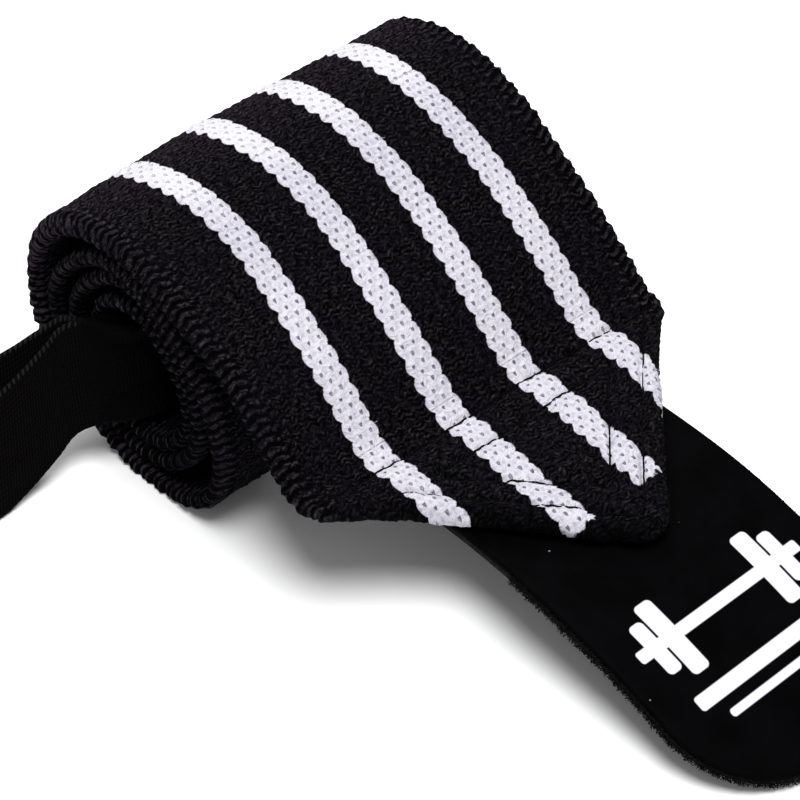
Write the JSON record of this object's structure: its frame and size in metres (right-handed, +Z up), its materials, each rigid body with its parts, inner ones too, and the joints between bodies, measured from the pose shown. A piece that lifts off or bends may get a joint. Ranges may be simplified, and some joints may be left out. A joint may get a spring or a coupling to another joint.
{
  "type": "wrist wrap",
  "caption": "Knitted elastic lifting wrist wrap rolled into a loose spiral, its stitched point and rounded hook-and-loop tab draped off the top, with a woven thumb loop at the roll's core.",
  "frame": {"origin": "on the surface that the wrap lies on, below the middle of the roll, halfway across the band", "axes": "+X from the roll towards the closing tab, +Y along the roll away from the thumb loop, +Z up"},
  "size_m": [0.1536, 0.127, 0.0484],
  "materials": {
    "knit": "matt knitted yarn, black with four white stripes",
    "tab_fabric": "smooth, slightly shiny closing-tab fabric",
    "hook_tape": "fine stiff hook bristles",
    "webbing": "fine cross-ribbed woven elastic"
  },
  "bodies": {
    "root": {"elastic_band": "knit", "tab_face": "tab_fabric", "tab_hook": "hook_tape", "thumb_loop": "webbing"}
  },
  "joints": []
}
